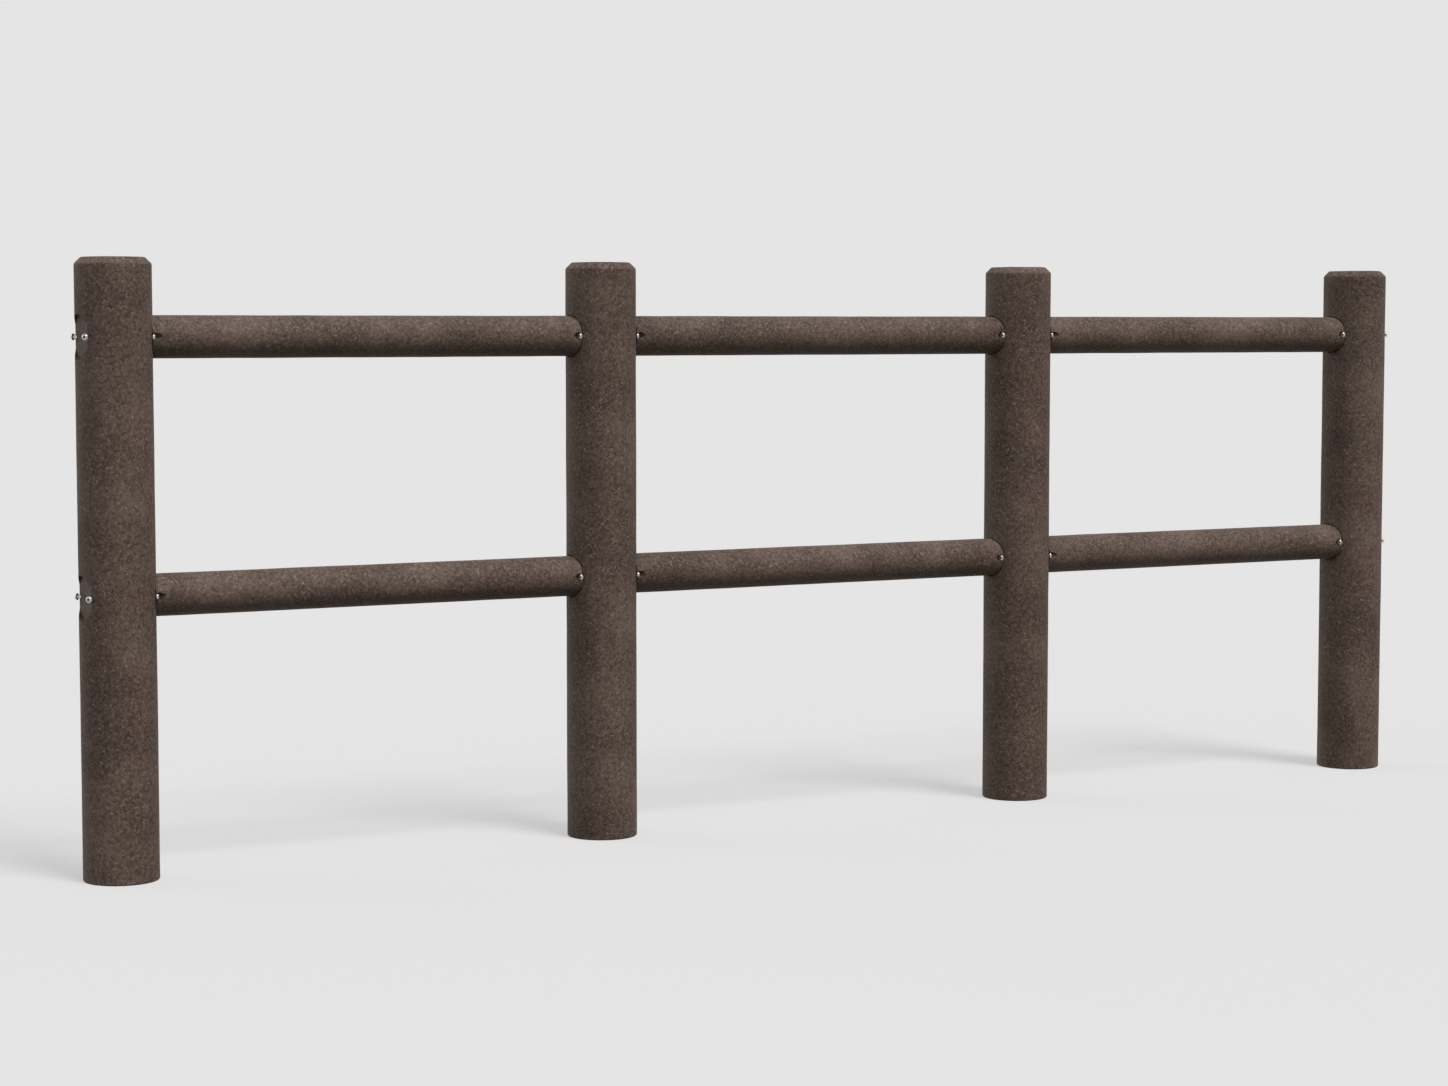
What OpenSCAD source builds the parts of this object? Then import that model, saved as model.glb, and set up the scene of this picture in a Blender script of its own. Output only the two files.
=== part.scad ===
// Park fence in solid recycled plastic: round posts, two round rails in each bay,
// and a pair of slanted screws at every rail end. All sizes are in millimetres.
// The origin is the centre of the first post's base. X runs along the fence,
// the front of the fence faces -Y, and Z is up from ground level.

/* [Posts] */
// Diameter of the posts
post_d = 140; // [110:1:180]
// Height of the posts above the ground
post_h = 1140; // [900:5:1400]
// Size of the 45 degree chamfer round each post's top
post_chamfer = 12.5; // [4:0.5:20]

/* [Bays] */
// First bay, from post centre to post centre
bay_1 = 990; // [600:5:2000]
// Second bay, from post centre to post centre
bay_2 = 1000; // [600:5:2000]
// Third bay, from post centre to post centre
bay_3 = 935; // [600:5:2000]

/* [Rails] */
// Diameter of the rails
rail_d = 80; // [60:1:100]
// From the top of the posts down to the centre of the upper rails
upper_rail_drop = 145; // [80:1:250]
// From the centre of the upper rails to the centre of the lower rails
rail_spacing = 473; // [200:1:600]
// Size of the chamfer round the ends of the rails
rail_chamfer = 3; // [1:0.5:6]

/* [Seats] */
// Depth of the flat seat for a rail's end, below the post's outermost line
seat_depth = 10; // [6:0.5:16]
// Clearance between a rail and the round wall of its seat
seat_gap = 1.5; // [0.5:0.25:4]

/* [Screws] */
// Diameter of the screw heads
head_d = 12.5; // [9:0.5:16]
// Height of the rim of a screw head
head_rim_h = 1; // [0.5:0.1:2]
// Height of the dome above the rim
head_dome_h = 3; // [1.5:0.1:5]
// Width across the corners of the hexagon drive socket
drive_d = 5.5; // [4:0.1:7]
// Depth of the drive socket, from the top of the dome
drive_depth = 2.5; // [1:0.1:3.5]
// Diameter of the screw shank
shank_d = 6; // [4:0.5:8]
// Length of the screw below its head
screw_length = 35; // [28:1:42]
// Length of the pointed tip
tip_length = 7; // [4:0.5:10]
// Angle between a screw and its rail
screw_angle = 45; // [40:1:55]
// From a rail's end face along the rail to the middle of the screw's bearing face
screw_setback = 4; // [3:0.5:8]
// From the rail's side surface in to the middle of the screw's bearing face
screw_inset = 5; // [3:0.5:8]
// Clearance between a screw head and the pocket that it sits in
pocket_gap = 1.25; // [0.5:0.25:2]
// Clearance round the shank, and beyond its tip, in the drilled hole
shank_gap = 0.1; // [0.05:0.05:0.3]

/* [Hidden] */
$fn = 96;
// Length by which a cutting shape runs past the surface that it cuts
overcut = 30;
// Number of flats that stand for the rounding of a screw's dome
dome_steps = 6;

plastic_colour = [0.32, 0.27, 0.24];
steel_colour = [0.72, 0.71, 0.70];

post_r = post_d / 2;
rail_r = rail_d / 2;
head_r = head_d / 2;
shank_r = shank_d / 2;
seat_r = rail_r + seat_gap;
// Distance from a post's axis to the floor of its seats
seat_x = post_r - seat_depth;

// The bearing face of a screw head, measured from the axes of the post and the rail
screw_x = seat_x + screw_setback;
screw_y = rail_r - screw_inset;

post_xs = [0, bay_1, bay_1 + bay_2, bay_1 + bay_2 + bay_3];
posts = [for (i = [0 : len(post_xs) - 1]) i];
bays = [for (i = [0 : len(post_xs) - 2]) i];

upper_z = post_h - upper_rail_drop;
// Each level is its name and its height
levels = [["upper", upper_z], ["lower", upper_z - rail_spacing]];
// Each side of a post is its name and its direction along X
sides = [["left", -1], ["right", 1]];
// Each face of the fence is its name and its direction along Y
faces = [["front", -1], ["back", 1]];

function post_name(i) = str("post_", i + 1);
function rail_name(i, level) = str(level[0], "_rail_", i + 1);
function screw_name(i, level, side, face) =
    str("screw_", i + 1, "_", level[0], "_", side[0], "_", face[0]);

// Turns a shape that stands on +Z so that it points along the fence towards side
module along_rail(side) {
    rotate([0, 90 * side[1], 0]) children();
}

// Places a shape at a screw: its origin on the bearing face, +Z out through the head
module at_screw(side, face) {
    outward = atan2(face[1] * sin(screw_angle), side[1] * cos(screw_angle));
    translate([side[1] * screw_x, face[1] * screw_y, 0])
        rotate([0, 90, outward])
            children();
}

// The flat-bottomed round seat that a rail's end drops into
module seat_cut(side) {
    translate([side[1] * seat_x, 0, 0])
        along_rail(side)
            cylinder(r = seat_r, h = seat_depth + overcut);
}

// The pocket for a screw's head, with the hole for its shank below it
module screw_cut() {
    cylinder(r = head_r + pocket_gap, h = overcut);
    translate([0, 0, -screw_length - shank_gap])
        cylinder(r = shank_r + shank_gap, h = screw_length + overcut);
}

// The seat and the screw holes at one end of one rail, on the post's own axis
module joint_cut(side) {
    seat_cut(side);
    for (face = faces)
        at_screw(side, face) screw_cut();
}

module post() {
    color(plastic_colour)
    difference() {
        rotate_extrude()
            polygon([
                [0, 0], [post_r, 0],
                [post_r, post_h - post_chamfer], [post_r - post_chamfer, post_h],
                [0, post_h]
            ]);
        for (level = levels, side = sides)
            translate([0, 0, level[1]]) joint_cut(side);
    }
}

// A rail of bay i, from seat floor to seat floor, with its end screws' pockets
module rail(i) {
    start = post_xs[i] + seat_x;
    end = post_xs[i + 1] - seat_x;
    length = end - start;
    color(plastic_colour)
    difference() {
        translate([start, 0, 0])
            rotate([0, 90, 0])
                rotate_extrude()
                    polygon([
                        [0, 0], [rail_r - rail_chamfer, 0], [rail_r, rail_chamfer],
                        [rail_r, length - rail_chamfer], [rail_r - rail_chamfer, length],
                        [0, length]
                    ]);
        for (face = faces) {
            translate([post_xs[i], 0, 0]) at_screw(sides[1], face) screw_cut();
            translate([post_xs[i + 1], 0, 0]) at_screw(sides[0], face) screw_cut();
        }
    }
}

// Half outline of a screw, from its point up to the crown of its dome
function dome_point(k) =
    let (turn = 90 * k / dome_steps)
    [head_r * cos(turn), head_rim_h + head_dome_h * sin(turn)];

module screw() {
    color(steel_colour)
    difference() {
        rotate_extrude($fn = 48)
            polygon([
                [0, -screw_length], [shank_r, tip_length - screw_length],
                [shank_r, 0], [head_r, 0],
                for (k = [0 : dome_steps - 1]) dome_point(k),
                [0, head_rim_h + head_dome_h]
            ]);
        translate([0, 0, head_rim_h + head_dome_h - drive_depth])
            cylinder(d = drive_d, h = overcut, $fn = 6);
    }
}

for (i = posts)
    translate([post_xs[i], 0, 0]) post();

for (i = bays, level = levels)
    translate([0, 0, level[1]]) rail(i);

for (i = posts, level = levels, side = sides, face = faces)
    translate([post_xs[i], 0, level[1]]) at_screw(side, face) screw();
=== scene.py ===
import math
import bpy
from mathutils import Matrix, Vector


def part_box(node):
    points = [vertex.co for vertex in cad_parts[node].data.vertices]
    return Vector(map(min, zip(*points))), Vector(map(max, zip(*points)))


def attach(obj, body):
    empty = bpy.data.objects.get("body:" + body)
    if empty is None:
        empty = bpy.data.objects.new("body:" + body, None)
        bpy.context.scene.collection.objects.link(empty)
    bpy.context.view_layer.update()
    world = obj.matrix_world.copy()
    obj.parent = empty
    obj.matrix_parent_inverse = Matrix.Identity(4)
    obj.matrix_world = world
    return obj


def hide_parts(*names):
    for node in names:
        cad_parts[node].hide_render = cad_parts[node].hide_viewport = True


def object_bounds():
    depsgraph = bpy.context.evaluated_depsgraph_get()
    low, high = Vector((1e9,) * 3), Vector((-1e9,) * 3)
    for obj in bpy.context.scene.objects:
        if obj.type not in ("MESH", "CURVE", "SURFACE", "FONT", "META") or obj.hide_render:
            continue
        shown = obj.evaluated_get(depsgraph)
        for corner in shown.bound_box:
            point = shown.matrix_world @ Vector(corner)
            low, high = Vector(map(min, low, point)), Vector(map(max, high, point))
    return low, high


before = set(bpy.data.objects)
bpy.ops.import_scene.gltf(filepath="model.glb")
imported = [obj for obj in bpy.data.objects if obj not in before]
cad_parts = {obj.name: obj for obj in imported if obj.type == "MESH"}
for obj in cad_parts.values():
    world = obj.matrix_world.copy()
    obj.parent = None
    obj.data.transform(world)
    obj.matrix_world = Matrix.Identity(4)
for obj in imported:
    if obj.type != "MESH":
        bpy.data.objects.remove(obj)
cadLow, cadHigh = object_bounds()
print("frame loaded,", len(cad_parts), "nodes")


def fromScreen(red, green, blue):  # an 8-bit screen colour as the linear colour a shader wants
    def linear(value):
        part = value / 255
        return part / 12.92 if part <= 0.04045 else ((part + 0.055) / 1.055) ** 2.4
    return (linear(red), linear(green), linear(blue), 1.0)


class Socket:  # a shader socket that takes part in Python sums
    def __init__(self, material, link):
        self.material = material
        self.link = link

    def maths(self, operation, first, second):
        return self.material.node("ShaderNodeMath", {"operation": operation}, {0: first, 1: second})

    def __add__(self, other):
        return self.maths("ADD", self, other)

    def __radd__(self, other):
        return self.maths("ADD", other, self)

    def __sub__(self, other):
        return self.maths("SUBTRACT", self, other)

    def __rsub__(self, other):
        return self.maths("SUBTRACT", other, self)

    def __mul__(self, other):
        return self.maths("MULTIPLY", self, other)

    def __rmul__(self, other):
        return self.maths("MULTIPLY", other, self)


class Material:  # one node material, built a node at a time
    def __init__(self, name):
        self.data = bpy.data.materials.new(name)
        self.data.use_nodes = True
        self.tree = self.data.node_tree
        self.shader = self.tree.nodes["Principled BSDF"]
        self.output = self.tree.nodes["Material Output"]

    def feed(self, socket, value):
        if isinstance(value, Socket):
            self.tree.links.new(value.link, socket)
        else:
            socket.default_value = value

    def node(self, kind, settings, inputs, output=0):
        made = self.tree.nodes.new(kind)
        for key, value in settings.items():
            if key == "stops":
                ramp = made.color_ramp.elements
                while len(ramp) < len(value):
                    ramp.new(1.0)
                for element, (place, colour) in zip(ramp, value):
                    element.position = place
                    element.color = colour
            else:
                setattr(made, key, value)
        for key, value in inputs.items():
            self.feed(made.inputs[key], value)
        return Socket(self, made.outputs[output])

    def place(self, scale=(1, 1, 1), shift=(0, 0, 0), turn=(0, 0, 0)):
        where = self.node("ShaderNodeTexCoord", {}, {}, "Object")
        turned = self.node("ShaderNodeMapping", {}, {"Vector": where, "Rotation": turn})
        return self.node("ShaderNodeMapping", {}, {"Vector": turned, "Scale": scale, "Location": shift})

    def noise(self, where, scale, detail=3.0, roughness=0.5):
        return self.node("ShaderNodeTexNoise", {}, {
            "Vector": where, "Scale": scale, "Detail": detail, "Roughness": roughness}, "Fac")

    def cells(self, where, scale, output="Distance"):
        return self.node("ShaderNodeTexVoronoi", {}, {"Vector": where, "Scale": scale}, output)

    def step(self, value, low, high):  # 0 below low, 1 above high, smooth between
        return self.node("ShaderNodeMapRange", {"interpolation_type": "SMOOTHSTEP"}, {
            "Value": value, "From Min": low, "From Max": high})

    def mix(self, factor, first, second):
        return self.node("ShaderNodeMix", {"data_type": "RGBA"}, {0: factor, 6: first, 7: second}, 2)

    def bump(self, height, strength, distance):
        return self.node("ShaderNodeBump", {}, {
            "Height": height, "Strength": strength, "Distance": distance})


plasticLook = {
    "dark": fromScreen(56, 43, 35),
    "middle": fromScreen(92, 76, 66),
    "light": fromScreen(120, 103, 92),
    "fleck": fromScreen(160, 147, 136),
    "pit": fromScreen(40, 32, 27),
    "cloudScale": 9,          # broad, slow changes of tone
    "mottleScale": 150,       # the mottling of ground-up plastic
    "grainScale": 900,        # the finest grain
    "streakScale": 330,       # short light strokes that lie two ways
    "streakStretch": 0.36,
    "streakTurns": ((0.7, 0.5, 0.2), (-0.6, -0.8, 1.1)),
    "fleckScale": 170,
    "pitScale": 120,
    "roughness": 0.62,
    "reliefMetres": 0.0007,
}


def makePlastic(name, along, shift):
    look = plasticLook
    plastic = Material(name)
    stretch = tuple(look["streakStretch"] if axis == along else 1 for axis in "XYZ")
    even = plastic.place(shift=shift)
    drawn, crossed = (plastic.place(stretch, shift, turn) for turn in look["streakTurns"])
    cloud = plastic.noise(even, look["cloudScale"], 2.0)
    mottle = plastic.noise(even, look["mottleScale"], 5.0, 0.65)
    grain = plastic.noise(even, look["grainScale"], 2.0, 0.6)
    streak = (plastic.step(plastic.noise(drawn, look["streakScale"], 2.0, 0.5), 0.60, 0.73)
              + plastic.step(plastic.noise(crossed, look["streakScale"], 2.0, 0.5), 0.60, 0.73))
    darkStreak = plastic.step(plastic.noise(crossed, look["streakScale"] * 0.5, 3.0, 0.6), 0.55, 0.70)
    fleck = 1 - plastic.step(plastic.cells(drawn, look["fleckScale"]), 0.05, 0.17)
    chosen = plastic.step(plastic.noise(even, look["fleckScale"] * 0.6, 1.0), 0.50, 0.60)
    pit = 1 - plastic.step(plastic.cells(even, look["pitScale"]), 0.06, 0.16)
    pitted = pit * plastic.step(plastic.noise(even, look["pitScale"] * 0.4, 1.0), 0.54, 0.66)
    tone = mottle * 0.75 + cloud * 0.35 + grain * 0.35 - 0.22
    body = plastic.node("ShaderNodeValToRGB", {"stops": [
        (0.34, look["dark"]), (0.50, look["middle"]), (0.66, look["light"])]}, {"Fac": tone})
    body = plastic.mix(darkStreak * 0.60, body, look["dark"])
    body = plastic.mix(streak * 0.60, body, look["fleck"])
    body = plastic.mix(fleck * chosen * 0.45, body, look["fleck"])
    body = plastic.mix(pitted * 0.8, body, look["pit"])
    relief = mottle * 0.5 + grain * 0.35 + streak * 0.12 - pitted * 0.9 - darkStreak * 0.2
    plastic.feed(plastic.shader.inputs["Base Color"], body)
    plastic.feed(plastic.shader.inputs["Roughness"], mottle * 0.2 - streak * 0.08 + look["roughness"])
    plastic.feed(plastic.shader.inputs["Normal"], plastic.bump(relief, 0.55, look["reliefMetres"]))
    plastic.shader.inputs["Specular IOR Level"].default_value = 0.26
    return plastic.data


steelLook = {
    "bright": fromScreen(206, 203, 200),
    "dull": fromScreen(150, 147, 143),
    "scratchScale": 1400,
    "roughness": 0.24,
}


def makeSteel():
    look = steelLook
    steel = Material("stainlessSteel")
    even = steel.place()
    cloud = steel.noise(even, 300, 3.0, 0.6)
    scratch = steel.noise(steel.place(scale=(1, 1, 0.1)), look["scratchScale"], 2.0, 0.5)
    tone = steel.step(cloud * 0.7 + scratch * 0.3, 0.36, 0.62)
    steel.feed(steel.shader.inputs["Base Color"], steel.mix(tone, look["dull"], look["bright"]))
    steel.feed(steel.shader.inputs["Roughness"], scratch * 0.16 + look["roughness"])
    steel.feed(steel.shader.inputs["Normal"], steel.bump(scratch, 0.12, 0.0002))
    steel.shader.inputs["Metallic"].default_value = 1.0
    return steel.data


postPlastic = makePlastic("recycledPlasticPost", "Z", (3.1, 1.7, 0.4))
railPlastic = makePlastic("recycledPlasticRail", "X", (0.6, 2.3, 5.9))
stainlessSteel = makeSteel()
print("materials made")

screw = {
    "length": 0.035,          # below the head
    "tip": 0.007,
    "shankRadius": 0.003,
    "headRadius": 0.00625,
    "flange": 0.0010,         # thickness of the flat ring round the dome
    "flangeWidth": 0.0008,
    "dome": 0.0030,
    "domeSteps": 6,
    "socketWidth": 0.0055,    # across the corners of the hexagon
    "socketDepth": 0.0026,
    "edge": 0.00025,
    "angle": 45,              # between the screw and its rail
    "sides": 48,
}

# the socket's faces get a darker steel: painted shade of the hexagon recess, mixed in random patches with a
# lighter metal
socketLook = {"paintedShade": fromScreen(58, 54, 50), "metal": fromScreen(120, 116, 112), "scale": 700}


def makeSocketSteel():
    shadedSocket = Material("socketSteel")
    patch = shadedSocket.noise(shadedSocket.place(), socketLook["scale"], 3.0, 0.6)
    shadedSocket.feed(shadedSocket.shader.inputs["Base Color"], shadedSocket.mix(
        shadedSocket.step(patch, 0.45, 0.65), socketLook["paintedShade"], socketLook["metal"]))
    shadedSocket.feed(shadedSocket.shader.inputs["Roughness"], patch * 0.3 + 0.35)
    shadedSocket.shader.inputs["Metallic"].default_value = 0.8
    return shadedSocket.data


socketSteel = makeSocketSteel()


def faceAt(mesh, height):  # selects only the flat face that looks up or down at that height
    bpy.ops.mesh.select_all(action="DESELECT")
    bpy.ops.object.mode_set(mode="OBJECT")
    for polygon in mesh.polygons:
        polygon.select = abs(abs(polygon.normal.z) - 1) < 1e-3 and abs(polygon.center.z - height) < 1e-6
    bpy.ops.object.mode_set(mode="EDIT")


def modelScrew():
    bpy.ops.object.select_all(action="DESELECT")
    bpy.ops.mesh.primitive_cylinder_add(
        vertices=screw["sides"], radius=screw["headRadius"], depth=screw["flange"],
        location=(0, 0, screw["flange"] / 2))
    piece = bpy.context.object
    bpy.ops.object.transform_apply(location=True)
    bpy.ops.object.mode_set(mode="EDIT")
    bpy.ops.mesh.select_mode(type="FACE")
    faceAt(piece.data, screw["flange"])
    bpy.ops.mesh.inset(thickness=screw["flangeWidth"])
    domeRadius = screw["headRadius"] - screw["flangeWidth"]
    radius, height = domeRadius, 0
    for step in range(1, screw["domeSteps"]):
        turn = math.radians(90 * step / screw["domeSteps"])
        nextRadius, nextHeight = domeRadius * math.cos(turn), screw["dome"] * math.sin(turn)
        bpy.ops.mesh.inset(thickness=(radius - nextRadius) * math.cos(math.pi / screw["sides"]))
        bpy.ops.transform.translate(value=(0, 0, nextHeight - height))
        radius, height = nextRadius, nextHeight
    faceAt(piece.data, 0)
    bpy.ops.mesh.inset(thickness=screw["headRadius"] - screw["shankRadius"])
    bpy.ops.mesh.extrude_region_move(
        TRANSFORM_OT_translate={"value": (0, 0, screw["tip"] - screw["length"])})
    bpy.ops.mesh.extrude_region_move(TRANSFORM_OT_translate={"value": (0, 0, -screw["tip"])})
    bpy.ops.transform.resize(value=(0.08, 0.08, 1))
    bpy.ops.object.mode_set(mode="OBJECT")
    bpy.ops.object.select_all(action="DESELECT")
    top = screw["flange"] + screw["dome"]
    bpy.ops.mesh.primitive_cylinder_add(
        vertices=6, radius=screw["socketWidth"] / 2, depth=screw["socketDepth"] * 2,
        location=(0, 0, top))
    socket = bpy.context.object
    bpy.ops.object.transform_apply(location=True)
    bpy.ops.object.select_all(action="DESELECT")
    piece.select_set(True)
    bpy.context.view_layer.objects.active = piece
    cut = piece.modifiers.new("socket", "BOOLEAN")
    cut.operation = "DIFFERENCE"
    cut.solver = "EXACT"
    cut.object = socket
    bpy.ops.object.modifier_apply(modifier=cut.name)
    bpy.data.objects.remove(socket)
    soften = piece.modifiers.new("edges", "BEVEL")
    soften.width = screw["edge"]
    soften.segments = 2
    soften.limit_method = "ANGLE"
    soften.angle_limit = math.radians(50)
    bpy.ops.object.modifier_apply(modifier=soften.name)
    bpy.ops.object.shade_smooth_by_angle(angle=math.radians(35))
    piece.data.materials.clear()
    piece.data.materials.append(stainlessSteel)
    piece.data.materials.append(socketSteel)
    # faces inside the hexagon socket take the darker steel, the painted shade of the recess
    for polygon in piece.data.polygons:
        across = math.hypot(polygon.center.x, polygon.center.y)
        inside = across < screw["socketWidth"] * 0.46 and polygon.center.z > screw["flange"]
        polygon.material_index = 1 if inside else 0
    return piece


lean = math.radians(screw["angle"])
screwPlaces = {}              # each screw's node: the middle of its bearing face, and its way out
for nodeName in sorted(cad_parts):
    if nodeName.startswith("screw"):
        side = 1 if "right" in nodeName else -1
        face = 1 if "back" in nodeName else -1
        low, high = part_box(nodeName)
        outward = Vector((side * math.cos(lean), face * math.sin(lean), 0))
        point = Vector((low.x if side > 0 else high.x, low.y if face > 0 else high.y, (low.z + high.z) / 2))
        screwPlaces[nodeName] = (point + outward * screw["length"], outward)

pattern = modelScrew()
for nodeName, (bearing, outward) in screwPlaces.items():
    copy = bpy.data.objects.new("detailed_" + nodeName, pattern.data.copy())
    bpy.context.scene.collection.objects.link(copy)
    turn = outward.to_track_quat("Z", "X").to_matrix().to_4x4()
    copy.data.transform(Matrix.Translation(bearing) @ turn)
    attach(copy, "root")
    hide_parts(nodeName)
bpy.data.objects.remove(pattern)
print("screws made,", len(screwPlaces))

stock = {
    "postSides": 128,
    "railSides": 96,
    "crown": 0.0125,          # chamfer round a post's top
    "softEdge": 0.0024,       # rounding of the chamfer's two edges
    "softSteps": 3,
    "footEdge": 0.0020,
    "railEdge": 0.0030,
    "slice": 0.022,           # length between the rings that carry the unevenness
    "unevenness": 0.0009,     # how far the extruded surface dips at most
    "unevenScale": 0.10,
    "seatGap": 0.0015,        # between a rail and the wall of its seat
    "seatRun": 0.040,
    "pocketRadius": 0.0075,
    "pocketRun": 0.030,
}


def chooseEdges(mesh, wanted):  # selects only the edges whose two heights pass the test
    bpy.ops.object.mode_set(mode="OBJECT")
    for part in (*mesh.polygons, *mesh.edges, *mesh.vertices):
        part.select = False
    for edge in mesh.edges:
        ends = [mesh.vertices[index] for index in edge.vertices]
        if wanted(ends[0].co.z, ends[1].co.z):
            edge.select = ends[0].select = ends[1].select = True
    bpy.ops.object.mode_set(mode="EDIT")
    bpy.ops.mesh.select_mode(type="EDGE")


def bevelRings(mesh, heights, width, steps):
    chooseEdges(mesh, lambda one, two: any(
        abs(one - height) < 1e-5 and abs(two - height) < 1e-5 for height in heights))
    bpy.ops.mesh.bevel(offset=width, offset_type="OFFSET", segments=steps, affect="EDGES")


def cutAway(piece, middle, outward, radius, run, sides):  # drills a round hole
    bpy.ops.object.select_all(action="DESELECT")
    bpy.ops.mesh.primitive_cylinder_add(vertices=sides, radius=radius, depth=run)
    drill = bpy.context.object
    turn = outward.to_track_quat("Z", "X").to_matrix().to_4x4()
    drill.data.transform(Matrix.Translation(middle + outward * run / 2) @ turn)
    bpy.ops.object.select_all(action="DESELECT")
    piece.select_set(True)
    bpy.context.view_layer.objects.active = piece
    cut = piece.modifiers.new("drill", "BOOLEAN")
    cut.operation = "DIFFERENCE"
    cut.solver = "EXACT"
    cut.object = drill
    bpy.ops.object.modifier_apply(modifier=cut.name)
    bpy.data.objects.remove(drill)


def modelStock(name, radius, length, sides, rings, place, foot=False):
    bpy.ops.object.select_all(action="DESELECT")
    bpy.ops.mesh.primitive_cylinder_add(
        vertices=sides, radius=radius, depth=length, location=(0, 0, length / 2))
    piece = bpy.context.object
    piece.name = "detailed_" + name
    bpy.ops.object.transform_apply(location=True)
    chooseEdges(piece.data, lambda one, two: abs(one - two) > length / 2)
    bpy.ops.mesh.subdivide(number_cuts=round(length / stock["slice"]) - 1)
    for heights, width, steps in rings:
        bevelRings(piece.data, heights, width, steps)
    bpy.ops.object.mode_set(mode="OBJECT")
    piece.data.transform(place)
    dips = piece.modifiers.new("unevenness", "DISPLACE")
    dips.texture = unevenness
    dips.texture_coords = "LOCAL"
    dips.strength = stock["unevenness"]
    dips.mid_level = 1.0
    bpy.ops.object.modifier_apply(modifier=dips.name)
    if foot:  # the sawn foot stays flat on the ground
        for vertex in piece.data.vertices:
            if vertex.co.z < stock["footEdge"] / 2:
                vertex.co.z = 0
    return piece


def finishStock(piece, nodeName, material):
    piece.data.materials.clear()  # the drilled walls take the same plastic as the rest
    piece.data.materials.append(material)
    for polygon in piece.data.polygons:
        polygon.material_index = 0
    bpy.ops.object.select_all(action="DESELECT")
    piece.select_set(True)
    bpy.context.view_layer.objects.active = piece
    bpy.ops.object.shade_smooth_by_angle(angle=math.radians(28))
    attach(piece, "root")
    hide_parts(nodeName)


unevenness = bpy.data.textures.new("unevenness", "CLOUDS")
unevenness.noise_scale = stock["unevenScale"]
unevenness.noise_depth = 2

railNames = sorted(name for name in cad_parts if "rail" in name)
postNames = sorted(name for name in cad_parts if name.startswith("post"))
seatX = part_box(railNames[0])[0].x  # from the first post's axis to the floor of its seats
for nodeName in railNames:
    low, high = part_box(nodeName)
    radius, length = (high.z - low.z) / 2, high.x - low.x
    level, number = nodeName.split("_")[0], int(nodeName[-1])
    place = Matrix.Translation((low.x, 0, (low.z + high.z) / 2)) @ Matrix.Rotation(math.pi / 2, 4, "Y")
    piece = modelStock(nodeName, radius, length, stock["railSides"],
                       [((0, length), stock["railEdge"], 2)], place)
    for end in (f"screw_{number}_{level}_right", f"screw_{number + 1}_{level}_left"):
        for face in ("front", "back"):
            bearing, outward = screwPlaces[f"{end}_{face}"]
            cutAway(piece, bearing, outward, stock["pocketRadius"], stock["pocketRun"], 48)
    finishStock(piece, nodeName, railPlastic)
print("rails made,", len(railNames))

for nodeName in postNames:
    low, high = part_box(nodeName)
    middleX, height = (low.x + high.x) / 2, high.z
    crown, soft = stock["crown"], stock["softEdge"]
    rings = [((height,), crown, 1), ((height, height - crown), soft, stock["softSteps"]),
             ((0,), stock["footEdge"], 1)]
    piece = modelStock(nodeName, (high.y - low.y) / 2, height, stock["postSides"], rings,
                       Matrix.Translation((middleX, 0, 0)), foot=True)
    for level in ("upper", "lower"):
        railLow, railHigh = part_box(level + "_rail_1")
        railZ, railRadius = (railLow.z + railHigh.z) / 2, (railHigh.z - railLow.z) / 2
        for side, sideName in ((-1, "left"), (1, "right")):
            cutAway(piece, Vector((middleX + side * seatX, 0, railZ)), Vector((side, 0, 0)),
                    railRadius + stock["seatGap"], stock["seatRun"], 96)
            for face in ("front", "back"):
                bearing, outward = screwPlaces[f"screw_{nodeName[-1]}_{level}_{sideName}_{face}"]
                cutAway(piece, bearing, outward, stock["pocketRadius"], stock["pocketRun"], 48)
    finishStock(piece, nodeName, postPlastic)
print("posts made,", len(postNames))

studio = {
    "floorTone": fromScreen(226, 225, 225),
    "backdropTone": fromScreen(230, 229, 229),
    "bounceTone": (0.08, 0.078, 0.075, 1.0),   # what the floor sends back up to the object
    "floorSize": 400,
    "nearRadius": 2.2,        # the floor is lit inside this, and plain backdrop outside the next
    "farRadius": 5.0,
    "backdropShare": 0.60,    # how far the backdrop tone lifts the lit floor, which softens its shadows
    "skyStrength": 0.38,
    "sunStrength": 2.30,
    "sunSpread": 24,
    "sunHeight": 55,          # degrees above the floor
    "sunTurn": 18,            # degrees from straight in front, towards the last post
    "rimStrength": 0.50,      # a low lamp from behind the first post
    "rimSpread": 30,
    "rimHeight": 15,
    "rimTurn": 222,
}


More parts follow.
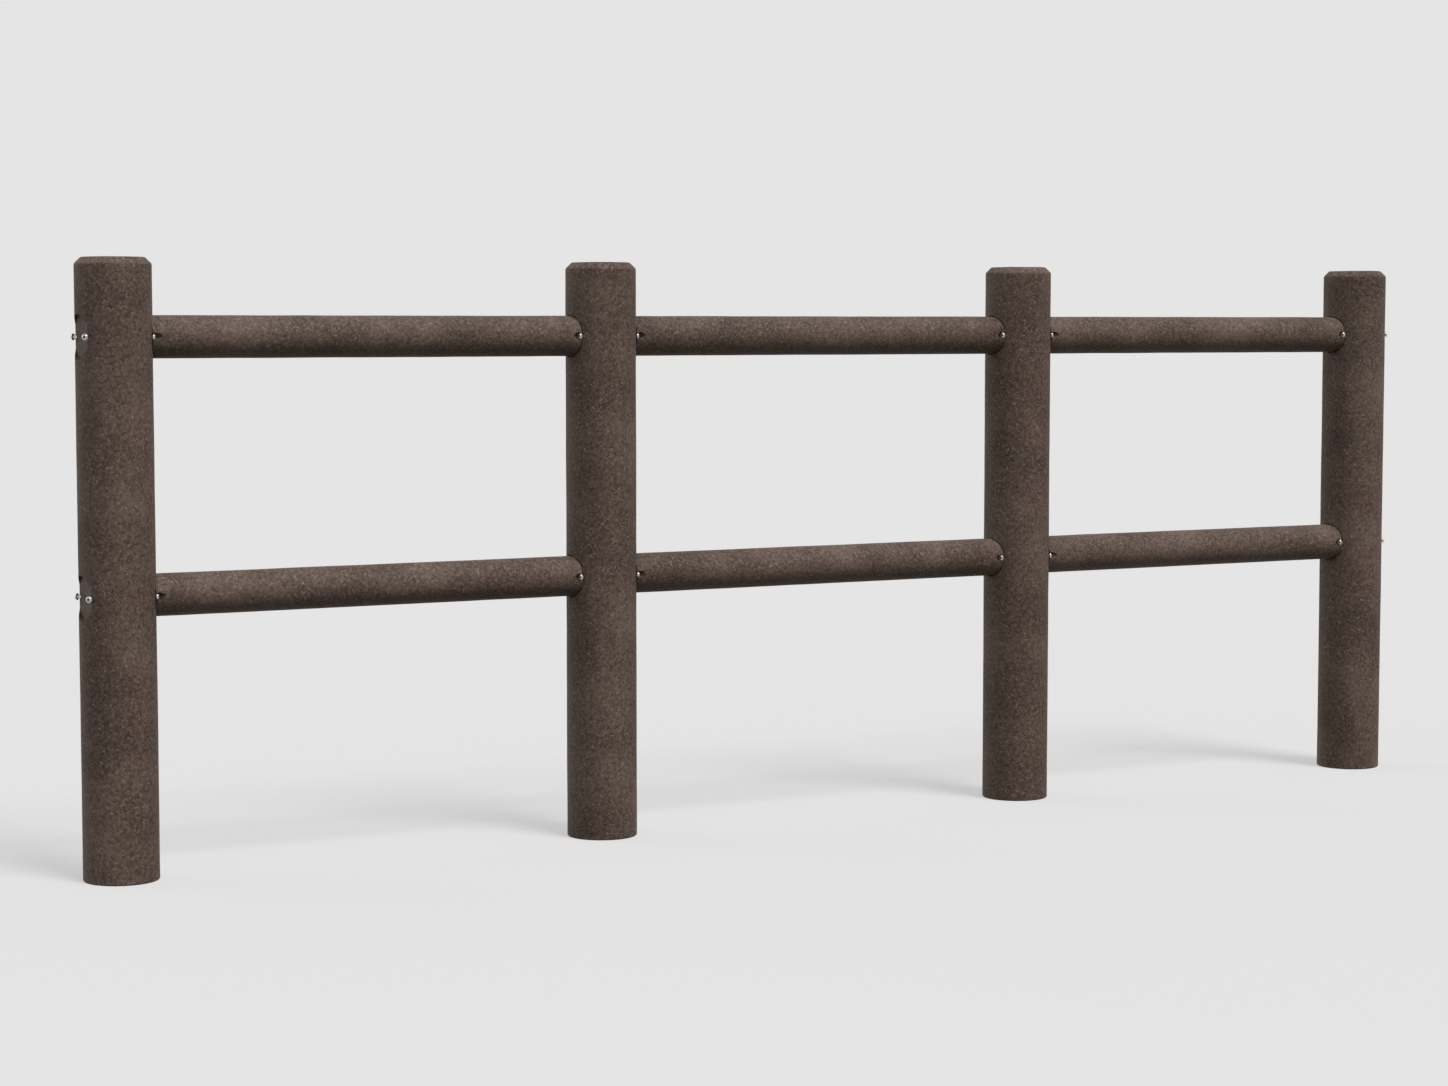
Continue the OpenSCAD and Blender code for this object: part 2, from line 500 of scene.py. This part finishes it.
def makeFloor():
    bpy.ops.object.select_all(action="DESELECT")
    middle = (cadLow + cadHigh) / 2
    bpy.ops.mesh.primitive_plane_add(size=studio["floorSize"], location=(middle.x, middle.y, 0))
    floor = bpy.context.object
    floor.name = "floor"
    bpy.ops.object.transform_apply(location=True)
    paint = Material("floorPaint")
    ray = "ShaderNodeLightPath"
    seen = (paint.node(ray, {}, {}, "Is Camera Ray") + paint.node(ray, {}, {}, "Is Glossy Ray")
            + paint.node(ray, {}, {}, "Is Transmission Ray"))
    paint.feed(paint.shader.inputs["Base Color"], paint.mix(seen, studio["bounceTone"], studio["floorTone"]))
    paint.shader.inputs["Roughness"].default_value = 1.0
    paint.shader.inputs["Specular IOR Level"].default_value = 0.0
    where = paint.place(shift=(-middle.x, -middle.y, 0))
    away = paint.node("ShaderNodeVectorMath", {"operation": "LENGTH"}, {0: where}, "Value")
    faded = paint.step(away, studio["nearRadius"], studio["farRadius"])
    share = studio["backdropShare"]
    far = (faded * (1 - share) + share) * seen
    glow = paint.node("ShaderNodeEmission", {}, {"Color": studio["backdropTone"], "Strength": 1.0})
    lit = Socket(paint, paint.shader.outputs[0])
    both = paint.node("ShaderNodeMixShader", {}, {0: far, 1: lit, 2: glow})
    paint.feed(paint.output.inputs["Surface"], both)
    floor.data.materials.append(paint.data)


def makeWorld():
    world = bpy.data.worlds.new("studio")
    bpy.context.scene.world = world
    world.use_nodes = True
    nodes, links = world.node_tree.nodes, world.node_tree.links
    nodes.clear()
    path = nodes.new("ShaderNodeLightPath")
    seen = nodes.new("ShaderNodeMath")
    seen.operation = "MAXIMUM"
    links.new(path.outputs["Is Camera Ray"], seen.inputs[0])
    links.new(path.outputs["Is Glossy Ray"], seen.inputs[1])
    seenToo = nodes.new("ShaderNodeMath")
    seenToo.operation = "MAXIMUM"
    links.new(seen.outputs[0], seenToo.inputs[0])
    links.new(path.outputs["Is Transmission Ray"], seenToo.inputs[1])
    sky = nodes.new("ShaderNodeBackground")
    sky.inputs["Color"].default_value = (1.0, 1.0, 1.0, 1.0)
    sky.inputs["Strength"].default_value = studio["skyStrength"]
    backdrop = nodes.new("ShaderNodeBackground")
    backdrop.inputs["Color"].default_value = studio["backdropTone"]
    backdrop.inputs["Strength"].default_value = 1.0
    both = nodes.new("ShaderNodeMixShader")
    links.new(seenToo.outputs[0], both.inputs[0])
    links.new(sky.outputs[0], both.inputs[1])
    links.new(backdrop.outputs[0], both.inputs[2])
    out = nodes.new("ShaderNodeOutputWorld")
    links.new(both.outputs[0], out.inputs["Surface"])


def makeSun(name, strength, spread, height, turn):
    lamp = bpy.data.lights.new(name, "SUN")
    lamp.energy = strength
    lamp.angle = math.radians(spread)
    sun = bpy.data.objects.new(name, lamp)
    bpy.context.scene.collection.objects.link(sun)
    height, turn = math.radians(height), math.radians(turn)
    towards = Vector((math.cos(height) * math.sin(turn), -math.cos(height) * math.cos(turn), math.sin(height)))
    sun.rotation_euler = towards.to_track_quat("Z", "Y").to_euler()
    sun.location = towards * 6


makeFloor()
makeWorld()
makeSun("keySun", studio["sunStrength"], studio["sunSpread"], studio["sunHeight"], studio["sunTurn"])
makeSun("rimSun", studio["rimStrength"], studio["rimSpread"], studio["rimHeight"], studio["rimTurn"])
print("studio made")

cameraSetting = {
    "place": (-1.6846, -5.2680, 1.0152),
    "turn": 29.28,            # degrees from straight on, towards the last post
    "dip": 4.17,              # degrees below level
    "lens": 74.09,
}
lens = bpy.data.cameras.new("camera")
lens.lens = cameraSetting["lens"]
lens.sensor_width = 36
lens.sensor_fit = "HORIZONTAL"
lens.clip_end = 500
camera = bpy.data.objects.new("camera", lens)
bpy.context.scene.collection.objects.link(camera)
camera.location = cameraSetting["place"]
camera.rotation_euler = (math.radians(90 - cameraSetting["dip"]), 0, math.radians(-cameraSetting["turn"]))
bpy.context.scene.camera = camera
bpy.context.scene.view_settings.view_transform = "Standard"
